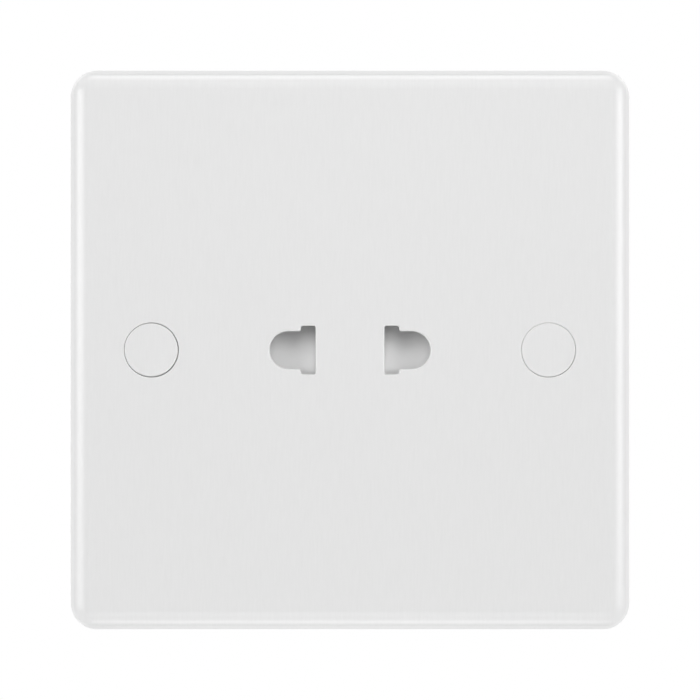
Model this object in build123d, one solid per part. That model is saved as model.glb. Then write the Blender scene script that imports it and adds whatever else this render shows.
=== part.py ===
from build123d import *
import os

# A two-pin wall socket on a square moulded plate. Sizes are in millimetres, angles in degrees.
# Each piece is drawn with the wall as its ground plane: X to the right, Y up the wall and Z out of the
# wall. At the end every piece is stood up, so that the face looks along -Y and Z is up.

# Moulded plate
PLATE_SIZE = 86.0  # across the rim that meets the wall
PLATE_DEPTH = 9.5  # from the wall to the face
PLATE_CORNER = 4.0  # corner radius at the rim
SIDE_DRAFT = 7.0  # slope of the sides
EDGE_RADIUS = 2.4  # round between the face and the sides
FRONT_WALL = 2.5
SLOT_WALL = 1.6  # the face over the shutter's well
SIDE_WALL = 2.0
CAVITY_CORNER = 2.0
RIB_THICKNESS = 1.2
RIB_HEIGHT = 2.0

# Plug slots: a round pin's hole that runs into a flat blade's
PIN_PITCH = 18.75
PIN_SLOT_HEIGHT = 5.7
BLADE_PITCH = 12.7
BLADE_SLOT_WIDTH = 2.25
BLADE_SLOT_HEIGHT = 7.35
SLOT_CORNER = 0.35
SLOT_LIP = 0.25  # round on the slot's front edge
ROUND_SHARE = 0.45  # most of a narrow wall that a round may take up

# Wall fixing screws and the bosses they sit in
FIXING_PITCH = 60.3
FIXING_THREAD = 3.5
FIXING_NECK = 3.0  # plain shank inside the plate
FIXING_LENGTH = 25.0
FIXING_HEAD = 7.0
FIXING_HEAD_HEIGHT = 2.4
FIXING_HEAD_GAP = 0.25
FIXING_HOLE_GAP = 0.3
FIXING_THREAD_GAP = 0.5  # the thread starts this far behind the boss
BOSS_WALL = 1.8
BOSS_RECESS = 1.0  # the boss stops this far short of the wall

# Caps over the fixing screws
CAP_THICKNESS = 1.9
CAP_GAP = 0.1
CAP_LEDGE = 0.4
CAP_EDGE = 0.15  # round on the cap's face and on the mouth of its hole
CAP_SKIRT = 1.4
CAP_SKIRT_WALL = 0.8
CAP_SKIRT_SLIT = 1.0
CAP_HEAD_GAP = 0.3

# Driver slots and screw forms
HEAD_ROUND = 0.7
DRIVER_SLOT_WIDTH = 1.0
DRIVER_SLOT_DEPTH = 1.0
SCREW_POINT = 0.5  # chamfer at the tip

# Shutter and the well it slides in
SHUTTER_THICKNESS = 5.4
SHUTTER_CHEEK = 2.5  # solid strip outside each window
SHUTTER_BAR = 2.0  # solid strip above the windows
SHUTTER_SILL = 1.2  # solid strip below the ramps
RAMP_MARGIN = 0.5  # ramp beyond the edge of its slot
RAMP_DEPTH = 3.4  # of a ramp's deep end below the shutter's front
SLIDE_GAP = 0.15
WELL_WALL = 1.3

# Shutter spring and its seat
SPRING_DIAMETER = 3.6
SPRING_WIRE = 0.4
SPRING_TURNS = 9
SPRING_GAP = 0.3
SPRING_END_GAP = 0.03
SPRING_POCKET_DEPTH = 9.0
SEAT_WIDTH = 5.0
SEAT_HEIGHT = 4.0
SEAT_GAP = 0.5
SEAT_NIB_LENGTH = 1.5

# Contact retainer
RETAINER_THICKNESS = 1.5
ENTRY_GAP = 0.2  # its pin holes beyond the plate's slots
PAD_SIZE = 5.0

# Contacts, stamped from spring strip
CONTACT_THICKNESS = 0.8
CONTACT_LENGTH = 10.4
CONTACT_BEND = 0.8
PIN_GRIP = 3.6
BLADE_GRIP = 5.8
BLADE_FINGER = 1.9
FINGER_SLIT = 0.4
FINGER_FLARE = 0.9
NIP_HEIGHT = 6.2  # of the narrowest place above the contact's base
SHOULDER_HEIGHT = 2.6
SHOULDER_OFFSET = 0.6  # the leaves stand this far outside a blade's grip
TAIL_WIDTH = 5.0
TAIL_INSERT = 2.6
TAIL_GAP = 0.03

# Terminals
TERMINAL_WIDTH = 9.0
TERMINAL_HEIGHT = 10.0
TERMINAL_DEPTH = 9.6
TERMINAL_DROP = 19.0  # from the pins down to the middle of the block
TERMINAL_EDGE = 0.3
TAIL_WALL = 1.4  # behind the tail's slot
WIRE_BORE = 4.6
WIRE_WALL = 1.4  # in front of the wire bore
WIRE_ENTRY_GAP = 0.5
TERMINAL_THREAD = 4.0
TERMINAL_THREAD_GAP = 0.03
TERMINAL_SCREW_OFFSET = 0.5
TERMINAL_SCREW_TRAVEL = 3.5  # the head stands this far off the block
TERMINAL_TIP_GAP = 0.2
TERMINAL_HEAD = 6.6
TERMINAL_HEAD_HEIGHT = 2.0
TERMINAL_HEAD_GAP = 0.3

# Rear housing and its screws
FLANGE_THICKNESS = 2.0
FLANGE_MARGIN = 0.6
FLANGE_CORNER = 2.0
HOUSING_WALL = 1.8
HOUSING_REAR_WALL = 1.6
HOUSING_CORNER = 1.5
HOUSING_EDGE = 0.5  # round on the rear edges
COLLAR_WALL = 1.3
COLLAR_RISE = 0.3  # beyond the screw's head
POCKET_GAP = 0.15
POST_DIAMETER = 5.6
PILOT_GAP = 0.05
PILOT_ROOM = 0.4
HOUSING_SCREW_THREAD = 2.5
HOUSING_SCREW_LENGTH = 7.5
HOUSING_SCREW_HEAD = 5.6
HOUSING_SCREW_HEAD_HEIGHT = 1.8
HOUSING_SCREW_HOLE_GAP = 0.25
HOUSING_HEAD_ROOM = 0.5
CROSS_LENGTH = 3.0
CROSS_WIDTH = 0.8

# Heights above the wall, from the face back
ROOF = PLATE_DEPTH - FRONT_WALL
CAP_SEAT = PLATE_DEPTH - CAP_THICKNESS
FIXING_HEAD_TOP = CAP_SEAT - CAP_SKIRT - CAP_HEAD_GAP
FIXING_SEAT = FIXING_HEAD_TOP - FIXING_HEAD_HEIGHT
WELL_ROOF = PLATE_DEPTH - SLOT_WALL
SHUTTER_FRONT = WELL_ROOF - SLIDE_GAP
SHUTTER_BACK = SHUTTER_FRONT - SHUTTER_THICKNESS
RETAINER_FRONT = SHUTTER_BACK - SLIDE_GAP
RETAINER_BACK = RETAINER_FRONT - RETAINER_THICKNESS
FLANGE_BACK = RETAINER_BACK - FLANGE_THICKNESS
CONTACT_MOUTH = RETAINER_BACK - POCKET_GAP
CONTACT_REAR = CONTACT_MOUTH - CONTACT_LENGTH
CONTACT_BASE = CONTACT_REAR + CONTACT_THICKNESS / 2
TERMINAL_REAR = CONTACT_REAR - TAIL_WALL
TERMINAL_FRONT = TERMINAL_REAR + TERMINAL_DEPTH
WIRE_HEIGHT = TERMINAL_FRONT - WIRE_WALL - WIRE_BORE / 2
TERMINAL_TIP = WIRE_HEIGHT - WIRE_BORE / 2 - TERMINAL_TIP_GAP
TERMINAL_UNDERHEAD = TERMINAL_REAR - TERMINAL_SCREW_TRAVEL
CONTACT_BOX_REAR = CONTACT_REAR - POCKET_GAP - HOUSING_REAR_WALL
TERMINAL_BOX_REAR = TERMINAL_REAR - POCKET_GAP - HOUSING_REAR_WALL
COLLAR_END = TERMINAL_UNDERHEAD - TERMINAL_HEAD_HEIGHT - COLLAR_RISE

# Places across the plate: the right-hand half, which the left-hand half mirrors
FIXING_X = FIXING_PITCH / 2
HEAD_BORE_RADIUS = FIXING_HEAD / 2 + FIXING_HEAD_GAP
CAP_BORE_RADIUS = HEAD_BORE_RADIUS + CAP_LEDGE
SLOT_INNER = (BLADE_PITCH - BLADE_SLOT_WIDTH) / 2
SLOT_OUTER = (PIN_PITCH + PIN_SLOT_HEIGHT) / 2
RAMP_INNER = SLOT_INNER - RAMP_MARGIN
RAMP_OUTER = SLOT_OUTER + RAMP_MARGIN
RAMP_HALF = BLADE_SLOT_HEIGHT / 2 + RAMP_MARGIN
SHUTTER_TRAVEL = BLADE_SLOT_HEIGHT + RAMP_MARGIN
SHUTTER_HALF = RAMP_OUTER + SHUTTER_CHEEK
WINDOW_TOP = RAMP_HALF + BLADE_SLOT_HEIGHT
SHUTTER_TOP = WINDOW_TOP + SHUTTER_BAR
SHUTTER_BOTTOM = -RAMP_HALF - SHUTTER_SILL
WELL_HALF = SHUTTER_HALF + SLIDE_GAP
WELL_TOP = SHUTTER_TOP + SLIDE_GAP
WELL_BOTTOM = SHUTTER_BOTTOM - SHUTTER_TRAVEL - SLIDE_GAP
SEAT_TOP = WELL_BOTTOM + SEAT_HEIGHT
WEB_BOTTOM = SEAT_TOP + SHUTTER_TRAVEL + SEAT_GAP
SPRING_TOP = WEB_BOTTOM + SPRING_POCKET_DEPTH
SPRING_HEIGHT = (SHUTTER_FRONT + SHUTTER_BACK) / 2
PIN_X = PIN_PITCH / 2
FINGER_INNER = (BLADE_PITCH - BLADE_FINGER) / 2
FINGER_OUTER = (BLADE_PITCH + BLADE_FINGER) / 2
CONTACT_OUTER = PIN_X + TAIL_WIDTH / 2
SHOULDER_HALF = BLADE_GRIP / 2 + CONTACT_THICKNESS / 2 + SHOULDER_OFFSET
CONTACT_HALF = BLADE_GRIP / 2 + CONTACT_THICKNESS + FINGER_FLARE
TERMINAL_TOP = -TERMINAL_DROP + TERMINAL_HEIGHT / 2
TERMINAL_BOTTOM = -TERMINAL_DROP - TERMINAL_HEIGHT / 2
TERMINAL_SCREW_Y = -TERMINAL_DROP - TERMINAL_SCREW_OFFSET
HOUSING_HALF = PIN_X + TERMINAL_WIDTH / 2 + POCKET_GAP + HOUSING_WALL
HOUSING_TOP = CONTACT_HALF + POCKET_GAP + HOUSING_WALL
HOUSING_BOTTOM = TERMINAL_BOTTOM - POCKET_GAP - HOUSING_WALL
POST_X = HOUSING_HALF + HOUSING_SCREW_HEAD / 2 + HOUSING_HEAD_ROOM
POST_TOP = WELL_TOP + WELL_WALL - POST_DIAMETER / 2
POST_BOTTOM = HOUSING_BOTTOM + POST_DIAMETER / 2
POSTS = [(x, y) for x in (-POST_X, POST_X) for y in (POST_BOTTOM, POST_TOP)]
FLANGE_HALF = POST_X + POST_DIAMETER / 2 + FLANGE_MARGIN
FLANGE_TOP = POST_TOP + POST_DIAMETER / 2 + FLANGE_MARGIN
FLANGE_BOTTOM = POST_BOTTOM - POST_DIAMETER / 2 - FLANGE_MARGIN


def block(x0, x1, y0, y1, z0, z1):
    """A box between two opposite corners."""
    return Pos((x0 + x1) / 2, (y0 + y1) / 2, (z0 + z1) / 2) * Box(x1 - x0, y1 - y0, z1 - z0)


def rod(radius, x, y, z0, z1):
    """A cylinder that stands on the wall plane's normal."""
    return Pos(x, y, (z0 + z1) / 2) * Cylinder(radius, z1 - z0)


def rod_up(radius, x, z, y0, y1):
    """A cylinder that runs up the wall."""
    return Pos(x, (y0 + y1) / 2, z) * Rot(X=90) * Cylinder(radius, y1 - y0)


def both_sides(piece):
    """A right-hand piece with its left-hand twin."""
    return piece + mirror(piece, about=Plane.YZ)


def slot_outline(gap):
    """The right-hand slot: a tall blade slot with a round-ended pin hole beside it."""
    height = PIN_SLOT_HEIGHT + 2 * gap
    middle = (BLADE_PITCH / 2 + PIN_X) / 2
    blade = Pos(BLADE_PITCH / 2, 0) * Rectangle(BLADE_SLOT_WIDTH + 2 * gap, BLADE_SLOT_HEIGHT + 2 * gap)
    bridge = Pos(middle, 0) * Rectangle(PIN_X - BLADE_PITCH / 2, height)
    outer_half = Circle(height / 2) & Pos(height / 2, 0) * Rectangle(height, height)
    outline = blade + bridge + Pos(PIN_X, 0) * outer_half
    blade_side = BLADE_PITCH / 2 + BLADE_SLOT_WIDTH / 2 + gap
    step = (BLADE_SLOT_HEIGHT - PIN_SLOT_HEIGHT) / 2
    run = PIN_X - blade_side
    corners = [v for v in outline.vertices() if v.X < blade_side + run / 2]
    return fillet(corners, min(SLOT_CORNER, ROUND_SHARE * step, ROUND_SHARE * run))


def plate_ribs(cavity):
    """Low stiffening ribs inside the face, lined up with the bosses and the well's walls."""
    half = PLATE_SIZE / 2
    bottom = ROOF - RIB_HEIGHT
    reach = RIB_THICKNESS / 2
    lines = [block(x - reach, x + reach, -half, half, bottom, ROOF)
             for x in (-FIXING_X, -WELL_HALF - reach, WELL_HALF + reach, FIXING_X)]
    lines += [block(-half, half, y - reach, y + reach, bottom, ROOF)
              for y in (WELL_BOTTOM - reach, 0, WELL_TOP + reach)]
    return [line & cavity for line in lines]


def front_plate():
    """The white moulding: a drafted tray with screw bosses, posts and the shutter's well on its back."""
    tray = extrude(RectangleRounded(PLATE_SIZE, PLATE_SIZE, PLATE_CORNER), PLATE_DEPTH, taper=SIDE_DRAFT)
    tray = fillet(tray.faces().sort_by(Axis.Z)[-1].edges(), EDGE_RADIUS)
    inside = PLATE_SIZE - 2 * SIDE_WALL
    cavity = extrude(RectangleRounded(inside, inside, CAVITY_CORNER), ROOF, taper=SIDE_DRAFT)
    plate = tray - cavity + plate_ribs(cavity)
    well_outside = WELL_HALF + WELL_WALL
    plate += block(-well_outside, well_outside, WELL_BOTTOM - WELL_WALL, WELL_TOP + WELL_WALL,
                   RETAINER_FRONT, ROOF)
    plate += [rod(POST_DIAMETER / 2, x, y, RETAINER_FRONT, ROOF) for x, y in POSTS]
    boss = rod(HEAD_BORE_RADIUS + BOSS_WALL, FIXING_X, 0, BOSS_RECESS, ROOF)
    plate += both_sides(boss)
    plate -= block(-WELL_HALF, WELL_HALF, WELL_BOTTOM, WELL_TOP, RETAINER_FRONT, WELL_ROOF)
    plate += spring_seat()
    plate -= both_sides(extrude(Pos(0, 0, WELL_ROOF) * slot_outline(0), SLOT_WALL))
    plate -= both_sides(fixing_hole())
    pilot = HOUSING_SCREW_THREAD / 2 + PILOT_GAP
    pilot_end = FLANGE_BACK + HOUSING_SCREW_LENGTH + PILOT_ROOM
    plate -= [rod(pilot, x, y, RETAINER_FRONT, pilot_end) for x, y in POSTS]
    return round_mouths(plate)


def fixing_hole():
    """The stepped hole of the right-hand fixing: cap, screw head, then the screw's shank."""
    shank = rod(FIXING_THREAD / 2 + FIXING_HOLE_GAP, FIXING_X, 0, BOSS_RECESS, FIXING_SEAT)
    head = rod(HEAD_BORE_RADIUS, FIXING_X, 0, FIXING_SEAT, CAP_SEAT)
    cap = rod(CAP_BORE_RADIUS, FIXING_X, 0, CAP_SEAT, PLATE_DEPTH)
    return shank + head + cap


def round_mouths(plate):
    """Small rounds where the slots and cap holes break through the face."""
    face = plate.faces().filter_by(Axis.Z).sort_by(Axis.Z)[-1]
    holes = face.inner_wires()
    caps = [wire.edges() for wire in holes if abs(wire.center().X) > FIXING_X / 2]
    slots = [wire.edges() for wire in holes if abs(wire.center().X) < FIXING_X / 2]
    plate = fillet([edge for edges in slots for edge in edges], SLOT_LIP)
    caps_now = [edge for edge in plate.edges().filter_by(GeomType.CIRCLE)
                if any((edge.center() - old.center()).length < CAP_EDGE for edges in caps for old in edges)]
    return fillet(caps_now, CAP_EDGE)


def spring_seat():
    """A pillar at the foot of the well with a nib that the spring sits on."""
    pillar = block(-SEAT_WIDTH / 2, SEAT_WIDTH / 2, WELL_BOTTOM, SEAT_TOP, RETAINER_FRONT, WELL_ROOF)
    radius = SPRING_DIAMETER / 2 - SPRING_WIRE - SPRING_GAP
    return pillar + rod_up(radius, 0, SPRING_HEIGHT, SEAT_TOP, SEAT_TOP + SEAT_NIB_LENGTH)


def screw_cap():
    """The right-hand cap: a disc on the ledge, with a slit skirt that grips the screw's hole."""
    disc = rod(CAP_BORE_RADIUS - CAP_GAP, FIXING_X, 0, CAP_SEAT, PLATE_DEPTH)
    disc = fillet(disc.edges().sort_by(Axis.Z)[-1], CAP_EDGE)
    foot = CAP_SEAT - CAP_SKIRT
    outside = HEAD_BORE_RADIUS - CAP_GAP
    skirt = rod(outside, FIXING_X, 0, foot, CAP_SEAT)
    skirt -= rod(outside - CAP_SKIRT_WALL, FIXING_X, 0, foot, CAP_SEAT)
    slit = CAP_SKIRT_SLIT / 2
    skirt -= block(FIXING_X - outside, FIXING_X + outside, -slit, slit, foot, CAP_SEAT)
    skirt -= block(FIXING_X - slit, FIXING_X + slit, -outside, outside, foot, CAP_SEAT)
    return disc + skirt


def pan_head(diameter, height):
    """A rounded screw head that stands on Z = 0."""
    head = rod(diameter / 2, 0, 0, 0, height)
    return fillet(head.edges().sort_by(Axis.Z)[-1], min(HEAD_ROUND, ROUND_SHARE * height))


def driver_slot(diameter, height):
    """A straight slot right across a head."""
    return block(-diameter, diameter, -DRIVER_SLOT_WIDTH / 2, DRIVER_SLOT_WIDTH / 2,
                 height - DRIVER_SLOT_DEPTH, height)


def driver_cross(height):
    """A cross recess in the middle of a head."""
    arm, half = CROSS_LENGTH / 2, CROSS_WIDTH / 2
    bottom = height - DRIVER_SLOT_DEPTH
    return block(-arm, arm, -half, half, bottom, height) + block(-half, half, -arm, arm, bottom, height)


def pointed_rod(radius, z0, z1):
    """A screw's shank on the Z axis with its tip chamfered at z0."""
    shank = rod(radius, 0, 0, z0, z1)
    return chamfer(shank.edges().sort_by(Axis.Z)[0], SCREW_POINT)


def fixing_screw():
    """The right-hand wall screw, its head under the cap and its thread behind the plate."""
    head = pan_head(FIXING_HEAD, FIXING_HEAD_HEIGHT) - driver_slot(FIXING_HEAD, FIXING_HEAD_HEIGHT)
    thread_top = BOSS_RECESS - FIXING_THREAD_GAP
    screw = Pos(0, 0, FIXING_SEAT) * head
    screw += rod(FIXING_NECK / 2, 0, 0, thread_top, FIXING_SEAT)
    screw += pointed_rod(FIXING_THREAD / 2, FIXING_SEAT - FIXING_LENGTH, thread_top)
    return Pos(FIXING_X, 0, 0) * screw


def shutter():
    """The sliding shutter: a ramp behind each slot, and above each ramp the window it brings down."""
    plate = block(-SHUTTER_HALF, SHUTTER_HALF, SHUTTER_BOTTOM, SHUTTER_TOP, SHUTTER_BACK, SHUTTER_FRONT)
    window = block(RAMP_INNER, RAMP_OUTER, RAMP_HALF, WINDOW_TOP, SHUTTER_BACK, SHUTTER_FRONT)
    deep = SHUTTER_FRONT - RAMP_DEPTH
    wedge = Polygon((-RAMP_HALF, SHUTTER_FRONT), (RAMP_HALF, deep), (RAMP_HALF, SHUTTER_FRONT), align=None)
    ramp = extrude(Plane.YZ.offset(RAMP_INNER) * wedge, RAMP_OUTER - RAMP_INNER)
    plate -= both_sides(window + ramp)
    notch = SEAT_WIDTH / 2 + SEAT_GAP
    plate -= block(-notch, notch, SHUTTER_BOTTOM, WEB_BOTTOM, SHUTTER_BACK, SHUTTER_FRONT)
    pocket = SPRING_DIAMETER / 2 + SPRING_GAP
    return plate - rod_up(pocket, 0, SPRING_HEIGHT, WEB_BOTTOM, SPRING_TOP)


def shutter_spring():
    """A compression spring between the seat's nib and the end of the shutter's pocket."""
    inset = SPRING_WIRE / 2 + SPRING_END_GAP
    length = SPRING_TOP - SEAT_TOP - 2 * inset
    coil = Helix(length / SPRING_TURNS, length, (SPRING_DIAMETER - SPRING_WIRE) / 2)
    wire = sweep(Plane(origin=coil @ 0, z_dir=coil % 0) * Circle(SPRING_WIRE / 2), path=coil)
    return Pos(0, SEAT_TOP + inset, SPRING_HEIGHT) * Rot(X=-90) * wire


def flange_outline():
    """The outline that the retainer and the housing's flange share."""
    middle = (FLANGE_TOP + FLANGE_BOTTOM) / 2
    return Pos(0, middle) * RectangleRounded(2 * FLANGE_HALF, FLANGE_TOP - FLANGE_BOTTOM, FLANGE_CORNER)


def screw_holes(z0, z1):
    """Clearance holes for the four housing screws."""
    radius = HOUSING_SCREW_THREAD / 2 + HOUSING_SCREW_HOLE_GAP
    return [rod(radius, x, y, z0, z1) for x, y in POSTS]


def contact_retainer():
    """The insulating plate between shutter and contacts, with pads that hold the terminals down."""
    plate = extrude(Pos(0, 0, RETAINER_BACK) * flange_outline(), RETAINER_THICKNESS)
    pad = block(PIN_X - PAD_SIZE / 2, PIN_X + PAD_SIZE / 2,
                -TERMINAL_DROP - PAD_SIZE / 2, -TERMINAL_DROP + PAD_SIZE / 2,
                TERMINAL_FRONT + POCKET_GAP, RETAINER_BACK)
    plate += both_sides(pad)
    plate -= both_sides(extrude(Pos(0, 0, RETAINER_BACK) * slot_outline(ENTRY_GAP), RETAINER_THICKNESS))
    return plate - screw_holes(RETAINER_BACK, RETAINER_FRONT)


def contact_leaves(grip, x0, x1):
    """A pair of leaves joined by their base, bent from strip and cut to a finger's width."""
    nip = (grip + CONTACT_THICKNESS) / 2
    upper = [(nip + FINGER_FLARE, CONTACT_MOUTH), (nip, CONTACT_BASE + NIP_HEIGHT),
             (SHOULDER_HALF, CONTACT_BASE + SHOULDER_HEIGHT), (SHOULDER_HALF, CONTACT_BASE)]
    lower = [(-y, z) for y, z in reversed(upper)]
    path = FilletPolyline(*upper, *lower, radius=CONTACT_BEND)
    return extrude(Plane.YZ.offset(x0) * trace(path, CONTACT_THICKNESS), x1 - x0)


def live_contact():
    """The right-hand contact: narrow fingers for a blade, wide ones for a round pin, and a tail."""
    half = CONTACT_THICKNESS / 2
    contact = contact_leaves(BLADE_GRIP, FINGER_INNER, FINGER_OUTER)
    contact += contact_leaves(PIN_GRIP, FINGER_OUTER + FINGER_SLIT, CONTACT_OUTER)
    flat = SHOULDER_HALF - CONTACT_BEND
    contact += block(FINGER_INNER, CONTACT_OUTER, -flat, flat, CONTACT_BASE - half, CONTACT_BASE + half)
    return contact + block(PIN_X - TAIL_WIDTH / 2, CONTACT_OUTER, TERMINAL_TOP - TAIL_INSERT, 0,
                           CONTACT_BASE - half, CONTACT_BASE + half)


def live_terminal():
    """The right-hand pillar: a brass block with a wire bore, a tapped hole and the tail's slot."""
    half = TERMINAL_WIDTH / 2
    pillar = block(PIN_X - half, PIN_X + half, TERMINAL_BOTTOM, TERMINAL_TOP, TERMINAL_REAR, TERMINAL_FRONT)
    pillar = chamfer(pillar.edges(), TERMINAL_EDGE)
    pillar -= rod_up(WIRE_BORE / 2, PIN_X, WIRE_HEIGHT, TERMINAL_BOTTOM, TERMINAL_TOP)
    thread = TERMINAL_THREAD / 2 + TERMINAL_THREAD_GAP
    pillar -= rod(thread, PIN_X, TERMINAL_SCREW_Y, TERMINAL_REAR, WIRE_HEIGHT)
    wide = TAIL_WIDTH / 2 + TAIL_GAP
    thick = CONTACT_THICKNESS / 2 + TAIL_GAP
    return pillar - block(PIN_X - wide, PIN_X + wide, TERMINAL_TOP - TAIL_INSERT - TAIL_GAP, TERMINAL_TOP,
                          CONTACT_BASE - thick, CONTACT_BASE + thick)


def terminal_screw():
    """The right-hand terminal screw, backed out ready for a wire, its head to the rear."""
    head = pan_head(TERMINAL_HEAD, TERMINAL_HEAD_HEIGHT) - driver_slot(TERMINAL_HEAD, TERMINAL_HEAD_HEIGHT)
    shank = pointed_rod(TERMINAL_THREAD / 2, TERMINAL_UNDERHEAD - TERMINAL_TIP, 0)
    return Pos(PIN_X, TERMINAL_SCREW_Y, TERMINAL_UNDERHEAD) * Rot(X=180) * (head + shank)


def housing_pockets():
    """What the housing leaves free for the right-hand contact, its tail, its terminal and screw."""
    contact = block(FINGER_INNER - POCKET_GAP, CONTACT_OUTER + POCKET_GAP,
                    -CONTACT_HALF - POCKET_GAP, CONTACT_HALF + POCKET_GAP,
                    CONTACT_REAR - POCKET_GAP, RETAINER_BACK)
    tail = block(PIN_X - TAIL_WIDTH / 2 - POCKET_GAP, CONTACT_OUTER + POCKET_GAP,
                 TERMINAL_TOP, 0, CONTACT_REAR - POCKET_GAP, RETAINER_BACK)
    half = TERMINAL_WIDTH / 2 + POCKET_GAP
    terminal = block(PIN_X - half, PIN_X + half, TERMINAL_BOTTOM - POCKET_GAP, TERMINAL_TOP + POCKET_GAP,
                     TERMINAL_REAR - POCKET_GAP, RETAINER_BACK)
    head = rod(TERMINAL_HEAD / 2 + TERMINAL_HEAD_GAP, PIN_X, TERMINAL_SCREW_Y, COLLAR_END, TERMINAL_REAR)
    wire = rod_up(WIRE_BORE / 2 + WIRE_ENTRY_GAP, PIN_X, WIRE_HEIGHT, HOUSING_BOTTOM, TERMINAL_BOTTOM)
    return contact + tail + terminal + head + wire


def round_rear(piece):
    """Rounds the rear edges of one of the housing's forms."""
    return fillet(piece.faces().sort_by(Axis.Z)[0].edges(), HOUSING_EDGE)


def housing_box(y0, y1, z0):
    """One of the housing's two boxes, from the flange back to z0."""
    box = block(-HOUSING_HALF, HOUSING_HALF, y0, y1, z0, FLANGE_BACK)
    return round_rear(fillet(box.edges().filter_by(Axis.Z), HOUSING_CORNER))


def rear_housing():
    """The moulding behind the plate: a flange, a box for the contacts, a deeper one for the terminals."""
    housing = housing_box(TERMINAL_BOTTOM, HOUSING_TOP, CONTACT_BOX_REAR)
    housing += housing_box(HOUSING_BOTTOM, TERMINAL_TOP + POCKET_GAP + HOUSING_WALL, TERMINAL_BOX_REAR)
    housing += round_rear(extrude(Pos(0, 0, FLANGE_BACK) * flange_outline(), FLANGE_THICKNESS))
    collar = TERMINAL_HEAD / 2 + TERMINAL_HEAD_GAP + COLLAR_WALL
    housing += both_sides(round_rear(rod(collar, PIN_X, TERMINAL_SCREW_Y, COLLAR_END, TERMINAL_BOX_REAR)))
    housing -= both_sides(housing_pockets())
    core = PIN_X - TERMINAL_WIDTH / 2 - POCKET_GAP - HOUSING_WALL
    housing -= block(-core, core, HOUSING_BOTTOM + HOUSING_WALL, HOUSING_TOP - HOUSING_WALL,
                     TERMINAL_BOX_REAR, FLANGE_BACK)
    return housing - screw_holes(FLANGE_BACK, RETAINER_BACK)


def housing_screw():
    """A self-tapping screw with its head at Z = 0 and its tip along +Z."""
    head = pan_head(HOUSING_SCREW_HEAD, HOUSING_SCREW_HEAD_HEIGHT) - driver_cross(HOUSING_SCREW_HEAD_HEIGHT)
    return Rot(X=180) * (head + pointed_rod(HOUSING_SCREW_THREAD / 2, -HOUSING_SCREW_LENGTH, 0))


def left_twin(piece):
    """The left-hand twin of a right-hand piece."""
    return mirror(piece, about=Plane.YZ)


PIECES = {
    "front_plate": front_plate(),
    "screw_cap_left": left_twin(screw_cap()),
    "screw_cap_right": screw_cap(),
    "fixing_screws": both_sides(fixing_screw()),
    "shutter": shutter(),
    "shutter_spring": shutter_spring(),
    "contact_retainer": contact_retainer(),
    "live_contact": live_contact(),
    "neutral_contact": left_twin(live_contact()),
    "live_terminal": live_terminal(),
    "neutral_terminal": left_twin(live_terminal()),
    "terminal_screws": both_sides(terminal_screw()),
    "rear_housing": rear_housing(),
    "housing_screws": Part() + [Pos(x, y, FLANGE_BACK) * housing_screw() for x, y in POSTS],
}

os.makedirs("parts", exist_ok=True)
for name, piece in PIECES.items():
    export_step(Rot(X=90) * piece, f"parts/{name}.step")
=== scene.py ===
import math

import bmesh
import bpy
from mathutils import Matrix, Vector


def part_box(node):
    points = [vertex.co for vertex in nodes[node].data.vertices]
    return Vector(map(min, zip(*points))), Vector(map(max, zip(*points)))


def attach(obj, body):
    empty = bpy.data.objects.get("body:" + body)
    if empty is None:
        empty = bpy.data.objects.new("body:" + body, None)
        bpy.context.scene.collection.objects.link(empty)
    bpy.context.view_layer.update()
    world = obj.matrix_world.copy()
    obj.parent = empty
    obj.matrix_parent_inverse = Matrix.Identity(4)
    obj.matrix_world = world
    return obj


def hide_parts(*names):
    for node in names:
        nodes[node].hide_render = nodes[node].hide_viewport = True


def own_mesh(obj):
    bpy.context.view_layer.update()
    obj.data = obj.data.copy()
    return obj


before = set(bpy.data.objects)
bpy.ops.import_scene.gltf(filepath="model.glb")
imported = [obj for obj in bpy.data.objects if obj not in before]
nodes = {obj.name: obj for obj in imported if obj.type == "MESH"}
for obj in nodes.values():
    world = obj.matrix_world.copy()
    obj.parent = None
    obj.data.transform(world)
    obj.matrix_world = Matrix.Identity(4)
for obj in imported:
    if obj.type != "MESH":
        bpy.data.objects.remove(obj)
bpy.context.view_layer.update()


# Front plate: the square white cover that shows on the wall, with two plug slots and two screw holes.
# It is pressed from urea resin in a polished mould, in one piece with the ribs, bosses and posts on its
# back, where the mould's ejector pins leave round marks. The other pieces are fitted to it from behind.
MM = 0.001
PLATE_WHITE = "#E9E9E9"
PLATE_LINE_WHITE = "#E4E4E4"
PLATE_IOR = 1.55
PLATE_GLOSS = (0.34, 0.40)
POLISH_LINE_WIDTH = 0.3 * MM
POLISH_LINE_LENGTH = 3 * MM
PLATE_RIPPLE = 7 * MM
PLATE_RIPPLE_HEIGHT = 0.04 * MM
PLATE_GRAIN = 0.35 * MM
PLATE_GRAIN_HEIGHT = 0.0015 * MM
PLATE_PINS = ((22.5 * MM, 33 * MM), (35 * MM, 27 * MM), (0, 31 * MM))
PLATE_PINS_BEHIND = -8 * MM
PIN_MARK_RADIUS = 2 * MM
PIN_MARK_EDGE = 0.15 * MM
PIN_MARK_RISE = 0.05 * MM
# Numbers of the Mix node's sockets when it mixes colours
MIX_FACTOR = 0
MIX_FIRST = 6
MIX_SECOND = 7
MIX_RESULT = 2


def linear(hex_colour):
    """An sRGB hex colour as linear red, green and blue, with full alpha."""
    shares = [int(hex_colour[start:start + 2], 16) / 255 for start in (1, 3, 5)]
    return (*[s / 12.92 if s <= 0.04045 else ((s + 0.055) / 1.055) ** 2.4 for s in shares], 1.0)


def add_node(tree, kind, values=None, links=None, **settings):
    """Adds one shader node with its settings, the values of its sockets and what is linked to them."""
    node = tree.nodes.new("ShaderNode" + kind)
    for name, value in settings.items():
        setattr(node, name, value)
    for socket, value in (values or {}).items():
        node.inputs[socket].default_value = value
    for socket, source in (links or {}).items():
        tree.links.new(source, node.inputs[socket])
    return node


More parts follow.
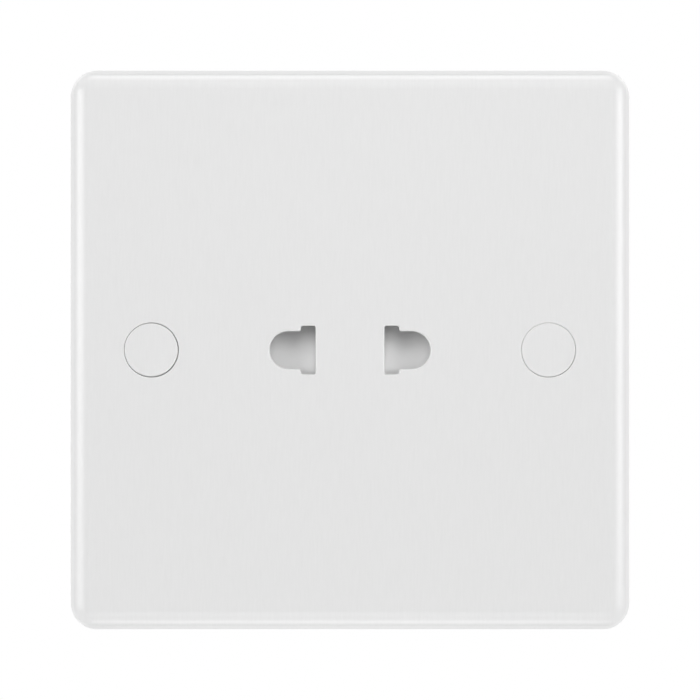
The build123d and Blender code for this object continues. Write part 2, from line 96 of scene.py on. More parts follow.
def empty_material(name):
    """A material with an empty node tree."""
    material = bpy.data.materials.new(name)
    material.use_nodes = True
    material.node_tree.nodes.clear()
    return material


def pin_marks(tree, place, spots, behind, normal):
    """Raises the round marks of ejector pins on a moulding's back, only where it lies behind some depth.
    Each spot, given by its X and Z, is repeated in the four quarters of the moulding."""
    axes = add_node(tree, "SeparateXYZ", None, {"Vector": place})
    across = add_node(tree, "CombineXYZ", None, {"X": axes.outputs["X"], "Z": axes.outputs["Z"]})
    quarter = add_node(tree, "VectorMath", None, {0: across.outputs["Vector"]}, operation="ABSOLUTE")
    back = add_node(tree, "Math", {1: behind}, {0: axes.outputs["Y"]}, operation="GREATER_THAN")
    for x, z in spots:
        away = add_node(tree, "VectorMath", {1: (x, 0, z)}, {0: quarter.outputs["Vector"]},
                        operation="DISTANCE")
        disc = add_node(tree, "MapRange", {"From Min": PIN_MARK_RADIUS,
                                           "From Max": PIN_MARK_RADIUS - PIN_MARK_EDGE},
                        {"Value": away.outputs["Value"]})
        mark = add_node(tree, "Math", None, {0: disc.outputs["Result"], 1: back.outputs[0]},
                        operation="MULTIPLY")
        normal = add_node(tree, "Bump", {"Distance": PIN_MARK_RISE},
                          {"Height": mark.outputs[0], "Normal": normal}).outputs["Normal"]
    return normal


def urea_moulding():
    """Urea resin from a polished mould: an even white gloss with faint upright polishing lines, the
    slight ripple of the shrinking resin and a fine grain, all drawn a little stronger than they are."""
    material = empty_material("urea_resin_polished_moulding")
    tree = material.node_tree
    place = add_node(tree, "TexCoord").outputs["Object"]
    stretch = add_node(tree, "Mapping",
                       {"Scale": (1 / POLISH_LINE_WIDTH, 1 / POLISH_LINE_LENGTH, 1 / POLISH_LINE_LENGTH)},
                       {"Vector": place})
    lines = add_node(tree, "TexNoise", {"Scale": 1, "Detail": 2}, {"Vector": stretch.outputs["Vector"]})
    ripple = add_node(tree, "TexNoise", {"Scale": 1 / PLATE_RIPPLE, "Detail": 1}, {"Vector": place})
    grain = add_node(tree, "TexNoise", {"Scale": 1 / PLATE_GRAIN, "Detail": 2}, {"Vector": place})
    white = add_node(tree, "Mix", {MIX_FIRST: linear(PLATE_WHITE), MIX_SECOND: linear(PLATE_LINE_WHITE)},
                     {MIX_FACTOR: lines.outputs["Fac"]}, data_type="RGBA")
    gloss = add_node(tree, "MapRange", {"To Min": PLATE_GLOSS[0], "To Max": PLATE_GLOSS[1]},
                     {"Value": grain.outputs["Fac"]})
    swell = add_node(tree, "Bump", {"Distance": PLATE_RIPPLE_HEIGHT}, {"Height": ripple.outputs["Fac"]})
    relief = add_node(tree, "Bump", {"Distance": PLATE_GRAIN_HEIGHT},
                      {"Height": grain.outputs["Fac"], "Normal": swell.outputs["Normal"]})
    marked = pin_marks(tree, place, PLATE_PINS, PLATE_PINS_BEHIND, relief.outputs["Normal"])
    shader = add_node(tree, "BsdfPrincipled", {"IOR": PLATE_IOR},
                      {"Base Color": white.outputs[MIX_RESULT], "Roughness": gloss.outputs["Result"],
                       "Normal": marked})
    add_node(tree, "OutputMaterial", links={"Surface": shader.outputs["BSDF"]})
    return material


white_moulding = urea_moulding()
nodes["front_plate"].material_slots[0].material = white_moulding


# Shutter: the pale slide behind the slots that a plug's pins push down by its two ramps.
# It is moulded from acetal, which is dull and a little waxy, and has faint drag marks from its sliding.
SHUTTER_WHITE = "#F2F2F2"
SHUTTER_WORN_WHITE = "#ECECEC"
SHUTTER_IOR = 1.48
SHUTTER_GLOSS = (0.42, 0.55)
SHUTTER_CLOUD = 6 * MM
DRAG_WIDTH = 0.25 * MM
DRAG_LENGTH = 5 * MM
DRAG_DEPTH = 0.003 * MM


def acetal_moulding():
    """Moulded acetal: a dull waxy white with fine marks drawn up and down by the sliding."""
    material = empty_material("acetal_moulding")
    tree = material.node_tree
    place = add_node(tree, "TexCoord").outputs["Object"]
    stretch = add_node(tree, "Mapping", {"Scale": (1 / DRAG_WIDTH, 1 / DRAG_WIDTH, 1 / DRAG_LENGTH)},
                       {"Vector": place})
    drag = add_node(tree, "TexNoise", {"Scale": 1, "Detail": 3}, {"Vector": stretch.outputs["Vector"]})
    cloud = add_node(tree, "TexNoise", {"Scale": 1 / SHUTTER_CLOUD, "Detail": 2}, {"Vector": place})
    white = add_node(tree, "Mix",
                     {MIX_FIRST: linear(SHUTTER_WHITE), MIX_SECOND: linear(SHUTTER_WORN_WHITE)},
                     {MIX_FACTOR: cloud.outputs["Fac"]}, data_type="RGBA")
    gloss = add_node(tree, "MapRange", {"To Min": SHUTTER_GLOSS[0], "To Max": SHUTTER_GLOSS[1]},
                     {"Value": drag.outputs["Fac"]})
    relief = add_node(tree, "Bump", {"Distance": DRAG_DEPTH}, {"Height": drag.outputs["Fac"]})
    shader = add_node(tree, "BsdfPrincipled", {"IOR": SHUTTER_IOR},
                      {"Base Color": white.outputs[MIX_RESULT], "Roughness": gloss.outputs["Result"],
                       "Normal": relief.outputs["Normal"]})
    add_node(tree, "OutputMaterial", links={"Surface": shader.outputs["BSDF"]})
    return material


nodes["shutter"].material_slots[0].material = acetal_moulding()


# Shutter spring: a compression spring of drawn steel wire that brings the shutter back over the slots.
# Its end turns are closed. It stands on the nib of the plate's spring seat, and its top is in the
# shutter's pocket.
SPRING_WIRE = 0.4 * MM
SPRING_TURNS = 9
SPRING_CLOSED_TURNS = 1.25
SPRING_CLOSED_PITCH = 0.41 * MM
SPRING_STEPS = 40
SPRING_SIDES = 12
WIRE_STEEL = "#B4B4B2"
WIRE_DARK_STEEL = "#8E8E8D"
WIRE_GLOSS = (0.24, 0.38)
DRAW_MARK = 0.12 * MM
SHARP_ANGLE = math.radians(35)
WELD_DISTANCE = 0.001 * MM


def drawn_wire():
    """Drawn spring wire: grey bright steel with short darker marks left by the die and the oil."""
    material = empty_material("spring_steel_drawn_wire")
    tree = material.node_tree
    place = add_node(tree, "TexCoord").outputs["Object"]
    marks = add_node(tree, "TexNoise", {"Scale": 1 / DRAW_MARK, "Detail": 3}, {"Vector": place})
    steel = add_node(tree, "Mix", {MIX_FIRST: linear(WIRE_STEEL), MIX_SECOND: linear(WIRE_DARK_STEEL)},
                     {MIX_FACTOR: marks.outputs["Fac"]}, data_type="RGBA")
    gloss = add_node(tree, "MapRange", {"To Min": WIRE_GLOSS[0], "To Max": WIRE_GLOSS[1]},
                     {"Value": marks.outputs["Fac"]})
    shader = add_node(tree, "BsdfPrincipled", {"Metallic": 1.0},
                      {"Base Color": steel.outputs[MIX_RESULT], "Roughness": gloss.outputs["Result"]})
    add_node(tree, "OutputMaterial", links={"Surface": shader.outputs["BSDF"]})
    return material


def pick_alone(piece):
    """Makes one piece the only one selected."""
    bpy.ops.object.select_all(action="DESELECT")
    piece.select_set(True)
    bpy.context.view_layer.objects.active = piece


def edit(piece):
    """Puts one piece alone into edit mode, with nothing selected."""
    pick_alone(piece)
    bpy.ops.object.mode_set(mode="EDIT")
    bpy.ops.mesh.select_all(action="DESELECT")


def apply_modifier(piece, kind, **settings):
    """Adds a modifier to a piece with its settings and applies it."""
    modifier = piece.modifiers.new("shape", kind)
    for name, value in settings.items():
        setattr(modifier, name, value)
    pick_alone(piece)
    bpy.ops.object.modifier_apply(modifier=modifier.name)


def drop_spare_points(piece):
    """In edit mode, takes out the points that a cut leaves part way along an edge between two faces."""
    bpy.ops.mesh.select_mode(type="VERT")
    bpy.ops.mesh.select_all(action="DESELECT")
    mesh = bmesh.from_edit_mesh(piece.data)
    for vert in mesh.verts:
        vert.select_set(len(vert.link_edges) == 2)
    bmesh.update_edit_mesh(piece.data)
    bpy.ops.mesh.dissolve_verts()


def finish_piece(piece, name, material):
    """Cleans a piece's mesh, turns its faces outwards, and gives it its shading, name and material."""
    pick_alone(piece)
    bpy.ops.object.transform_apply(location=True, rotation=True, scale=True)
    edit(piece)
    bpy.ops.mesh.select_all(action="SELECT")
    bpy.ops.mesh.remove_doubles(threshold=WELD_DISTANCE)
    drop_spare_points(piece)
    bpy.ops.mesh.select_all(action="SELECT")
    bpy.ops.mesh.normals_make_consistent(inside=False)
    bpy.ops.object.mode_set(mode="OBJECT")
    bpy.ops.object.shade_smooth_by_angle(angle=SHARP_ANGLE)
    piece.name = name
    piece.data.name = name
    piece.data.materials.clear()
    piece.data.materials.append(material)
    return piece


def coil_rise(turn, rise):
    """Height of the wire after some turns: close wound at both ends, where the turns all but touch, and
    even in between."""
    closed = SPRING_CLOSED_TURNS
    open_share = (turn - closed) / (SPRING_TURNS - 2 * closed)
    ends = min(turn, closed) + max(turn - SPRING_TURNS + closed, 0)
    open_rise = rise - 2 * closed * SPRING_CLOSED_PITCH
    return ends * SPRING_CLOSED_PITCH + min(max(open_share, 0), 1) * open_rise


def coil_spring(name, material):
    """A spring wound from a ring of wire, stood up in the place of the spring's solid."""
    low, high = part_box("shutter_spring")
    winding = (high.x - low.x - SPRING_WIRE) / 2
    bpy.ops.object.select_all(action="DESELECT")
    bpy.ops.mesh.primitive_circle_add(vertices=SPRING_SIDES, radius=SPRING_WIRE / 2)
    spring = bpy.context.object
    edit(spring)
    bpy.ops.mesh.select_all(action="SELECT")
    bpy.ops.transform.rotate(value=math.radians(90), orient_axis="X", center_override=(0, 0, 0))
    bpy.ops.transform.translate(value=(winding, 0, 0))
    bpy.ops.object.mode_set(mode="OBJECT")
    steps = SPRING_STEPS * SPRING_TURNS
    apply_modifier(spring, "SCREW", angle=2 * math.pi * SPRING_TURNS, steps=steps, render_steps=steps,
                   screw_offset=0)
    for vert in spring.data.vertices:
        ring = vert.index // SPRING_SIDES
        vert.co.z += coil_rise(ring / SPRING_STEPS, high.z - low.z - SPRING_WIRE)
    edit(spring)
    bpy.ops.mesh.select_all(action="SELECT")
    bpy.ops.mesh.fill_holes(sides=SPRING_SIDES)
    bpy.ops.object.mode_set(mode="OBJECT")
    spring.location = ((low.x + high.x) / 2, (low.y + high.y) / 2, low.z + SPRING_WIRE / 2)
    return finish_piece(spring, name, material)


spring = coil_spring("shutter_coil_spring", drawn_wire())
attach(spring, "socket")
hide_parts("shutter_spring")
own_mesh(spring)


# Contact retainer and rear housing: the insulating plate behind the shutter, and the two-step box behind
# it that holds the contacts and terminals. Both are moulded from heat-proof nylon in spark-eroded
# moulds, which leave them dull, and four screws clamp them to the posts of the front plate.
NYLON_GREY = "#CFCEC9"
NYLON_PALE_GREY = "#D9D8D4"
NYLON_IOR = 1.53
NYLON_GLOSS = (0.44, 0.60)
NYLON_CLOUD = 9 * MM
SPARK_GRAIN = 0.35 * MM
SPARK_DEPTH = 0.02 * MM
HOUSING_PINS = ((19.2 * MM, 5 * MM), (9.4 * MM, 0))
HOUSING_PINS_BEHIND = 0


def nylon_moulding():
    """Glass-filled nylon from a spark-eroded mould: a dull, slightly warm grey with a pitted grain and
    paler clouds where the filling gathers. The grain is drawn at about three times its real size."""
    material = empty_material("filled_nylon_spark_eroded_moulding")
    tree = material.node_tree
    place = add_node(tree, "TexCoord").outputs["Object"]
    cloud = add_node(tree, "TexNoise", {"Scale": 1 / NYLON_CLOUD, "Detail": 3}, {"Vector": place})
    pits = add_node(tree, "TexVoronoi", {"Scale": 1 / SPARK_GRAIN}, {"Vector": place},
                    feature="SMOOTH_F1")
    grey = add_node(tree, "Mix", {MIX_FIRST: linear(NYLON_GREY), MIX_SECOND: linear(NYLON_PALE_GREY)},
                    {MIX_FACTOR: cloud.outputs["Fac"]}, data_type="RGBA")
    gloss = add_node(tree, "MapRange", {"To Min": NYLON_GLOSS[0], "To Max": NYLON_GLOSS[1]},
                     {"Value": pits.outputs["Distance"]})
    relief = add_node(tree, "Bump", {"Distance": SPARK_DEPTH}, {"Height": pits.outputs["Distance"]})
    marked = pin_marks(tree, place, HOUSING_PINS, HOUSING_PINS_BEHIND, relief.outputs["Normal"])
    shader = add_node(tree, "BsdfPrincipled", {"IOR": NYLON_IOR},
                      {"Base Color": grey.outputs[MIX_RESULT], "Roughness": gloss.outputs["Result"],
                       "Normal": marked})
    add_node(tree, "OutputMaterial", links={"Surface": shader.outputs["BSDF"]})
    return material


insulator = nylon_moulding()
nodes["contact_retainer"].material_slots[0].material = insulator
nodes["rear_housing"].material_slots[0].material = insulator


# Contacts: the two spring clips that grip a plug's pins, each with a tail that goes into its terminal.
# They are stamped and bent from rolled phosphor-bronze strip, so fine lines run along the leaves.
BRONZE = "#C69A70"
BRONZE_DARK = "#AF845B"
BRONZE_GLOSS = (0.26, 0.40)
ROLL_LINE_WIDTH = 0.08 * MM
ROLL_LINE_LENGTH = 6 * MM
ROLL_LINE_DEPTH = 0.0015 * MM


def lined_metal(name, colour, dark_colour, gloss_range, line_size, line_depth):
    """Rolled or drawn metal: bright, with fine straight lines and darker streaks along the way it was
    worked. A line's size is given along X, Y and Z, and is larger than a real one's."""
    material = empty_material(name)
    tree = material.node_tree
    place = add_node(tree, "TexCoord").outputs["Object"]
    stretch = add_node(tree, "Mapping", {"Scale": [1 / length for length in line_size]},
                       {"Vector": place})
    lines = add_node(tree, "TexNoise", {"Scale": 1, "Detail": 3}, {"Vector": stretch.outputs["Vector"]})
    metal = add_node(tree, "Mix", {MIX_FIRST: linear(colour), MIX_SECOND: linear(dark_colour)},
                     {MIX_FACTOR: lines.outputs["Fac"]}, data_type="RGBA")
    gloss = add_node(tree, "MapRange", {"To Min": gloss_range[0], "To Max": gloss_range[1]},
                     {"Value": lines.outputs["Fac"]})
    relief = add_node(tree, "Bump", {"Distance": line_depth}, {"Height": lines.outputs["Fac"]})
    shader = add_node(tree, "BsdfPrincipled", {"Metallic": 1.0},
                      {"Base Color": metal.outputs[MIX_RESULT], "Roughness": gloss.outputs["Result"],
                       "Normal": relief.outputs["Normal"]})
    add_node(tree, "OutputMaterial", links={"Surface": shader.outputs["BSDF"]})
    return material


contact_bronze = lined_metal("phosphor_bronze_rolled_strip", BRONZE, BRONZE_DARK, BRONZE_GLOSS,
                             (ROLL_LINE_WIDTH, ROLL_LINE_LENGTH, ROLL_LINE_LENGTH), ROLL_LINE_DEPTH)
nodes["live_contact"].material_slots[0].material = contact_bronze
nodes["neutral_contact"].material_slots[0].material = contact_bronze


# Terminals: two brass pillars with a tunnel for the wire, one for each pole.
# They are sawn from drawn brass bar and drilled, with drawing lines up and down their sides.
BRASS = "#D3B877"
BRASS_DARK = "#B89A5A"
BRASS_GLOSS = (0.26, 0.40)
DRAWN_LINE_WIDTH = 0.12 * MM
DRAWN_LINE_LENGTH = 8 * MM
DRAWN_LINE_DEPTH = 0.002 * MM

terminal_brass = lined_metal("brass_drawn_bar", BRASS, BRASS_DARK, BRASS_GLOSS,
                             (DRAWN_LINE_WIDTH, DRAWN_LINE_WIDTH, DRAWN_LINE_LENGTH), DRAWN_LINE_DEPTH)
nodes["live_terminal"].material_slots[0].material = terminal_brass
nodes["neutral_terminal"].material_slots[0].material = terminal_brass


# Terminal screws: one slotted brass screw in each pillar, backed out so that a wire can go in.
# They are turned from bar with an M4 thread, so rings from the turning tool run round their heads.
TERMINAL_HEAD_HEIGHT = 2.0 * MM
TERMINAL_THREAD = 2.0 * MM
TERMINAL_PITCH = 0.7 * MM
TERMINAL_NECK = 1.7 * MM
TERMINAL_NECK_LENGTH = 0.3 * MM
TERMINAL_TURNS = (18, -40)
HEAD_TO_BACK = -90
SCREW_SIDES = 64
THREAD_STEPS = 32
THREAD_DEPTH_SHARE = 0.61
THREAD_CREST = (0.38, 0.50)
THREAD_FOOT = 0.88
THREAD_SPARE_TURNS = 2
CUT_TOLERANCE = 0.0001 * MM
HEAD_ROUND = 0.7 * MM
HEAD_ROUND_STEPS = 6
SCREW_POINT = 0.5 * MM
DRIVER_SLOT_WIDTH = 1.0 * MM
DRIVER_SLOT_DEPTH = 1.0 * MM
DRIVER_SLOT_REACH = 4
FACING = 0.9
TURNING_RING = 0.22 * MM
TURNING_DEPTH = 0.004 * MM
TURNING_FADE = (-0.9 * MM, -0.6 * MM)
TURNED_GLOSS = (0.24, 0.38)
TURNED_STAIN = 1 * MM
WAVE_TURNS_PER_SCALE = 20


def turned_brass():
    """Turned brass: bright yellow metal with fine rings round the screw's own axis on top of its head,
    and darker stains. The tool's feed is finer than this and is drawn coarser, so that it shows."""
    material = empty_material("brass_turned")
    tree = material.node_tree
    place = add_node(tree, "Attribute", attribute_name="screw_place").outputs["Vector"]
    rings = add_node(tree, "TexWave", {"Scale": 2 * math.pi / (WAVE_TURNS_PER_SCALE * TURNING_RING)},
                     {"Vector": place}, wave_type="RINGS", rings_direction="Z")
    axes = add_node(tree, "SeparateXYZ", None, {"Vector": place})
    top = add_node(tree, "MapRange", {"From Min": TURNING_FADE[0], "From Max": TURNING_FADE[1]},
                   {"Value": axes.outputs["Z"]})
    cut = add_node(tree, "Math", None, {0: rings.outputs["Fac"], 1: top.outputs["Result"]},
                   operation="MULTIPLY")
    stain = add_node(tree, "TexNoise", {"Scale": 1 / TURNED_STAIN, "Detail": 3}, {"Vector": place})
    brass = add_node(tree, "Mix", {MIX_FIRST: linear(BRASS), MIX_SECOND: linear(BRASS_DARK)},
                     {MIX_FACTOR: stain.outputs["Fac"]}, data_type="RGBA")
    gloss = add_node(tree, "MapRange", {"To Min": TURNED_GLOSS[0], "To Max": TURNED_GLOSS[1]},
                     {"Value": stain.outputs["Fac"]})
    relief = add_node(tree, "Bump", {"Distance": TURNING_DEPTH}, {"Height": cut.outputs[0]})
    shader = add_node(tree, "BsdfPrincipled", {"Metallic": 1.0},
                      {"Base Color": brass.outputs[MIX_RESULT], "Roughness": gloss.outputs["Result"],
                       "Normal": relief.outputs["Normal"]})
    add_node(tree, "OutputMaterial", links={"Surface": shader.outputs["BSDF"]})
    return material


def select_faces(piece, test):
    """In edit mode, selects those faces whose normal passes a test."""
    bpy.ops.mesh.select_mode(type="FACE")
    bpy.ops.mesh.select_all(action="DESELECT")
    mesh = bmesh.from_edit_mesh(piece.data)
    for face in mesh.faces:
        face.select_set(test(face.normal))
    bmesh.update_edit_mesh(piece.data)


def join_solids(piece, other, operation):
    """Unites another solid with a piece, or cuts it out of it, and throws the other one away."""
    apply_modifier(piece, "BOOLEAN", operation=operation, object=other, solver="EXACT")
    bpy.data.objects.remove(other)


def box_solid(width, depth, height, middle):
    """A box with its sides along the axes."""
    bpy.ops.object.select_all(action="DESELECT")
    bpy.ops.mesh.primitive_cube_add(size=1, location=middle)
    box = bpy.context.object
    box.scale = (width, depth, height)
    bpy.ops.object.transform_apply(location=True, scale=True)
    return box


def pan_head(radius, height, neck, neck_length):
    """A rounded head that stands on Z = 0, with a plain neck under it."""
    bpy.ops.object.select_all(action="DESELECT")
    bpy.ops.mesh.primitive_cylinder_add(vertices=SCREW_SIDES, radius=radius, depth=height,
                                        location=(0, 0, height / 2))
    head = bpy.context.object
    bpy.ops.object.transform_apply(location=True)
    edit(head)
    select_faces(head, lambda normal: normal.z > FACING)
    bpy.ops.mesh.region_to_loop()
    bpy.ops.mesh.bevel(offset=HEAD_ROUND, segments=HEAD_ROUND_STEPS, affect="EDGES")
    select_faces(head, lambda normal: normal.z < -FACING)
    bpy.ops.mesh.inset(thickness=radius - neck)
    bpy.ops.mesh.extrude_region_move(TRANSFORM_OT_translate={"value": (0, 0, -neck_length)})
    bpy.ops.object.mode_set(mode="OBJECT")
    return head


def threaded_rod(radius, pitch, top, tip):
    """A rod down the Z axis with a right-hand thread, pointed at its tip and run out at its top."""
    root = radius - THREAD_DEPTH_SHARE * pitch
    crest_from, crest_to = THREAD_CREST
    profile = [(root, 0), (radius, crest_from), (radius, crest_to), (root, THREAD_FOOT), (root, 1)]
    closing_edge = {0, len(profile) - 1}
    bpy.ops.object.select_all(action="DESELECT")
    bpy.ops.mesh.primitive_circle_add(vertices=len(profile), radius=radius)
    rod = bpy.context.object
    edit(rod)
    mesh = bmesh.from_edit_mesh(rod.data)
    mesh.verts.ensure_lookup_table()
    for vert, (out, share) in zip(mesh.verts, profile):
        vert.co = (out, 0, tip + (share - 1) * pitch)
    bpy.ops.mesh.select_mode(type="EDGE")
    for edge in mesh.edges:
        edge.select_set({vert.index for vert in edge.verts} == closing_edge)
    bmesh.update_edit_mesh(rod.data)
    bpy.ops.mesh.delete(type="EDGE")
    bpy.ops.object.mode_set(mode="OBJECT")
    turns = math.ceil((top - tip) / pitch) + THREAD_SPARE_TURNS
    apply_modifier(rod, "SCREW", angle=2 * math.pi, screw_offset=pitch, iterations=turns,
                   steps=THREAD_STEPS, render_steps=THREAD_STEPS)
    for vert in rod.data.vertices:
        out = math.hypot(vert.co.x, vert.co.y)
        most = min(radius - SCREW_POINT + max(vert.co.z - tip, 0), root + max(top - vert.co.z, 0))
        share = min(1, most / out)
        vert.co.x *= share
        vert.co.y *= share
    edit(rod)
    bpy.ops.mesh.select_all(action="SELECT")
    bpy.ops.mesh.remove_doubles(threshold=WELD_DISTANCE)
    for height, way in ((top, 1), (tip, -1)):
        bpy.ops.mesh.select_all(action="SELECT")
        bpy.ops.mesh.bisect(plane_co=(0, 0, height), plane_no=(0, 0, way), threshold=CUT_TOLERANCE,
                            use_fill=True, clear_outer=True)
    bpy.ops.mesh.select_all(action="SELECT")
    bpy.ops.mesh.normals_make_consistent(inside=False)
    bpy.ops.object.mode_set(mode="OBJECT")
    return rod


def pan_screw(head_radius, head_height, neck, neck_length, thread, pitch, tip):
    """A screw down the Z axis: its head stands on Z = 0, and its thread starts below a plain neck."""
    overlap = pitch / 2
    screw = pan_head(head_radius, head_height, neck, neck_length + overlap)
    join_solids(screw, threaded_rod(thread, pitch, -neck_length, tip), "UNION")
    return screw


def driver_slot(screw, radius, height):
    """Cuts a straight slot right across a head."""
    slot = box_solid(DRIVER_SLOT_REACH * radius, DRIVER_SLOT_WIDTH, 2 * DRIVER_SLOT_DEPTH,
                     (0, 0, height))
    join_solids(screw, slot, "DIFFERENCE")


def mark_own_place(screw, head_height):
    """Keeps each point's place, measured from the top of the head, for the rings of its finish."""
    own = screw.data.attributes.new("screw_place", "FLOAT_VECTOR", "POINT")
    for vert, entry in zip(screw.data.vertices, own.data):
        entry.vector = vert.co - Vector((0, 0, head_height))


def set_of_screws(screw, spots, lean, turns, name, material):
    """Copies a finished screw to each of its places, turned a little differently, as one piece."""
    copies = []
    for spot, turn in zip(spots, turns):
        pick_alone(screw)
        bpy.ops.object.duplicate(linked=False)
        copy = bpy.context.object
        copy.rotation_euler = (math.radians(lean), 0, 0)
        copy.rotation_euler.rotate_axis("Z", math.radians(turn))
        copy.location = spot
        bpy.ops.object.transform_apply(location=True, rotation=True)
        copies.append(copy)
    bpy.data.objects.remove(screw)
    pick_alone(copies[0])
    for copy in copies:
        copy.select_set(True)
    bpy.ops.object.join()
    return finish_piece(copies[0], name, material)


low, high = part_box("terminal_screws")
head_radius = (high.z - low.z) / 2
under_head = high.y - TERMINAL_HEAD_HEIGHT
terminal_screw = pan_screw(head_radius, TERMINAL_HEAD_HEIGHT, TERMINAL_NECK, TERMINAL_NECK_LENGTH,
                           TERMINAL_THREAD, TERMINAL_PITCH, low.y - under_head)
driver_slot(terminal_screw, head_radius, TERMINAL_HEAD_HEIGHT)
mark_own_place(terminal_screw, TERMINAL_HEAD_HEIGHT)
spots = [(x, under_head, (low.z + high.z) / 2) for x in (low.x + head_radius, high.x - head_radius)]
terminal_screws = set_of_screws(terminal_screw, spots, HEAD_TO_BACK, TERMINAL_TURNS,
                                "terminal_screw_pair", turned_brass())
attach(terminal_screws, "socket")
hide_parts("terminal_screws")


# Housing screws: four self-tapping screws with cross recesses that hold the housing and the retainer.
# They are cold-headed from steel wire with a coarse rolled thread and plated with bright zinc.
HOUSING_HEAD_RADIUS = 2.8 * MM
HOUSING_HEAD_HEIGHT = 1.8 * MM
HOUSING_THREAD = 1.25 * MM
HOUSING_PITCH = 0.9 * MM
HOUSING_NECK = 0.95 * MM
HOUSING_NECK_LENGTH = 0.3 * MM
HOUSING_TURNS = (10, 52, 33, 71)
CROSS_LENGTH = 3.0 * MM
CROSS_WIDTH = 0.8 * MM
CROSS_DEPTH = 1.1 * MM
CROSS_FOOT_SHARE = 0.45
ZINC = "#C6C9CC"
ZINC_DARK = "#AEB2B8"
ZINC_GLOSS = (0.22, 0.40)
ZINC_CLOUD = 0.9 * MM
TUMBLE_GRAIN = 0.12 * MM
TUMBLE_DEPTH = 0.0015 * MM


def zinc_plate():
    """Bright zinc plate on steel: a cool silvery shine, clouded where the plate is thicker, and finely
    dented by tumbling in the plating drum. The dents are drawn larger than they are."""
    material = empty_material("steel_bright_zinc_plated")
    tree = material.node_tree
    place = add_node(tree, "TexCoord").outputs["Object"]
    cloud = add_node(tree, "TexNoise", {"Scale": 1 / ZINC_CLOUD, "Detail": 3}, {"Vector": place})
    dents = add_node(tree, "TexNoise", {"Scale": 1 / TUMBLE_GRAIN, "Detail": 1}, {"Vector": place})
    zinc = add_node(tree, "Mix", {MIX_FIRST: linear(ZINC), MIX_SECOND: linear(ZINC_DARK)},
                    {MIX_FACTOR: cloud.outputs["Fac"]}, data_type="RGBA")
    gloss = add_node(tree, "MapRange", {"To Min": ZINC_GLOSS[0], "To Max": ZINC_GLOSS[1]},
                     {"Value": cloud.outputs["Fac"]})
    relief = add_node(tree, "Bump", {"Distance": TUMBLE_DEPTH}, {"Height": dents.outputs["Fac"]})
    shader = add_node(tree, "BsdfPrincipled", {"Metallic": 1.0},
                      {"Base Color": zinc.outputs[MIX_RESULT], "Roughness": gloss.outputs["Result"],
                       "Normal": relief.outputs["Normal"]})
    add_node(tree, "OutputMaterial", links={"Surface": shader.outputs["BSDF"]})
    return material


def cross_recess(screw, height):
    """Cuts a cross recess into the middle of a head, its arms narrowing towards the foot."""
    for length, width in ((CROSS_LENGTH, CROSS_WIDTH), (CROSS_WIDTH, CROSS_LENGTH)):
        arm = box_solid(length, width, 2 * CROSS_DEPTH, (0, 0, height))
        edit(arm)
        select_faces(arm, lambda normal: normal.z < -FACING)
        bpy.ops.transform.resize(value=(CROSS_FOOT_SHARE, CROSS_FOOT_SHARE, 1))
        bpy.ops.object.mode_set(mode="OBJECT")
        join_solids(screw, arm, "DIFFERENCE")


low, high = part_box("housing_screws")
under_head = high.y - HOUSING_HEAD_HEIGHT
housing_screw = pan_screw(HOUSING_HEAD_RADIUS, HOUSING_HEAD_HEIGHT, HOUSING_NECK, HOUSING_NECK_LENGTH,
                          HOUSING_THREAD, HOUSING_PITCH, low.y - under_head)
cross_recess(housing_screw, HOUSING_HEAD_HEIGHT)
spots = [(x, under_head, z) for x in (low.x + HOUSING_HEAD_RADIUS, high.x - HOUSING_HEAD_RADIUS)
         for z in (low.z + HOUSING_HEAD_RADIUS, high.z - HOUSING_HEAD_RADIUS)]
bright_zinc = zinc_plate()
housing_screws = set_of_screws(housing_screw, spots, HEAD_TO_BACK, HOUSING_TURNS,
                               "housing_screw_set", bright_zinc)
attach(housing_screws, "socket")
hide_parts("housing_screws")


# Fixing screws: the two long slotted M3.5 screws that hold the plate to the wall box, under the caps.
# They are cold-headed steel with a rolled thread and bright zinc plate, and sit in the plate's bosses.
FIXING_HEAD_HEIGHT = 2.4 * MM
FIXING_THREAD = 1.75 * MM
FIXING_PITCH = 0.6 * MM
FIXING_NECK = 1.5 * MM
FIXING_NECK_LENGTH = 3.0 * MM
FIXING_TURNS = (25, -12)
HEAD_TO_FRONT = 90

low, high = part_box("fixing_screws")
head_radius = (high.z - low.z) / 2
under_head = low.y + FIXING_HEAD_HEIGHT
fixing_screw = pan_screw(head_radius, FIXING_HEAD_HEIGHT, FIXING_NECK, FIXING_NECK_LENGTH,
                         FIXING_THREAD, FIXING_PITCH, under_head - high.y)
driver_slot(fixing_screw, head_radius, FIXING_HEAD_HEIGHT)
spots = [(x, under_head, (low.z + high.z) / 2) for x in (low.x + head_radius, high.x - head_radius)]
fixing_screws = set_of_screws(fixing_screw, spots, HEAD_TO_FRONT, FIXING_TURNS,
                              "fixing_screw_pair", bright_zinc)
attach(fixing_screws, "socket")
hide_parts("fixing_screws")


# Screw caps: the two round push-in caps that hide the fixing screws, flush with the face.
# They are moulded from the plate's own resin, as a disc with a soft front edge and a slit skirt that
# springs into the screw's hole. Each is a little wider than its solid and sits out of the middle.
CAP_THICKNESS = 1.9 * MM
CAP_SIDES = 128
CAP_EDGE = 0.15 * MM
CAP_EDGE_STEPS = 5
CAP_SKIRT = 3.65 * MM
CAP_SKIRT_WALL = 0.8 * MM
CAP_SKIRT_SLIT = 1.0 * MM
# What each cap is larger by in radius, and its shifts along X and Z
CAP_SWELL_AND_SHIFTS = {"screw_cap_left": (0.01 * MM, -0.03 * MM, 0.02 * MM),
                        "screw_cap_right": (0.06 * MM, -0.01 * MM, 0.02 * MM)}


